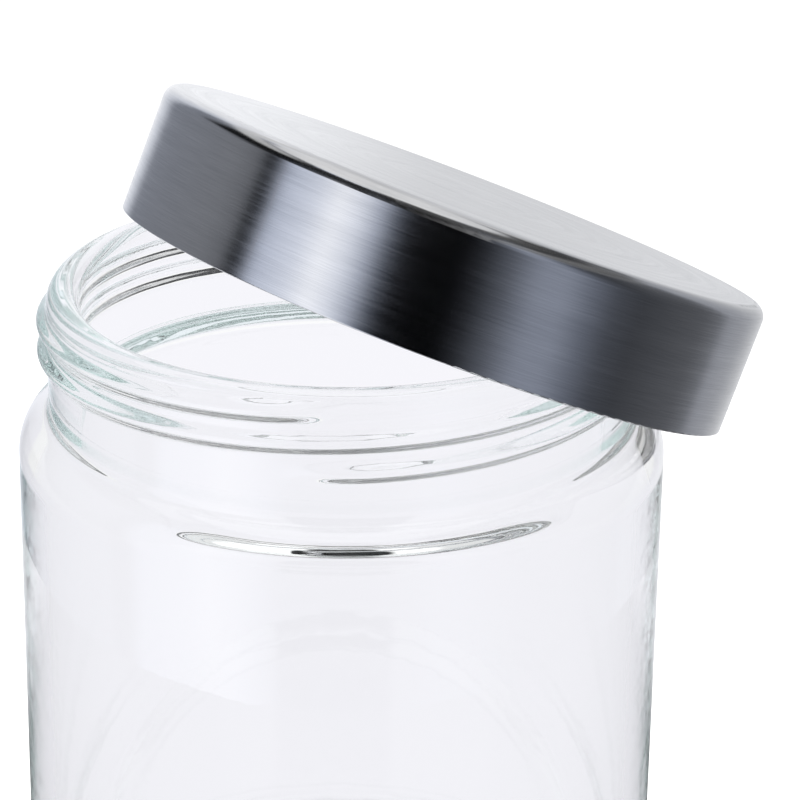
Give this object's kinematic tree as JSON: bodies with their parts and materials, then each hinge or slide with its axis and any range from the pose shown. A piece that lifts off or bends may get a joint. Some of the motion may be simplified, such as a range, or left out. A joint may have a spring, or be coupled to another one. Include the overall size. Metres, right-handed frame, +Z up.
{
  "type": "spice jar",
  "caption": "Round clear glass spice jar with a two-start screw neck and a brushed steel screw lid, taken off and leaning on the mouth.",
  "frame": {"origin": "centre of the ring that the glass jar stands on", "axes": "+Z up along the jar's axis, out of its mouth; +X to the right and +Y away in the pictured view; the lid leans towards +X and +Y"},
  "size_m": [0.0807, 0.0774, 0.111],
  "materials": {
    "clear_glass": "clear, fire polished",
    "brushed_steel": "brushed in rings round the lid",
    "ring_plastic": "moulded satin",
    "seal_silicone": "soft matt"
  },
  "bodies": {
    "jar": {"glass_jar": "clear_glass"},
    "seal": {"seal_ring": "seal_silicone"},
    "lid": {"lid_shell": "brushed_steel", "thread_ring": "ring_plastic"}
  },
  "joints": [
    {"name": "lid_lift", "type": "slide", "parent": "jar", "child": "seal", "axis": [0, 0, 1], "range_m": [0, 0.04]},
    {"name": "lid_turn", "type": "hinge", "parent": "seal", "child": "lid", "pos_m": [0.00861, 0.00568, 0.08407], "axis": [0.3436, 0.2265, 0.9114], "continuous": true}
  ]
}
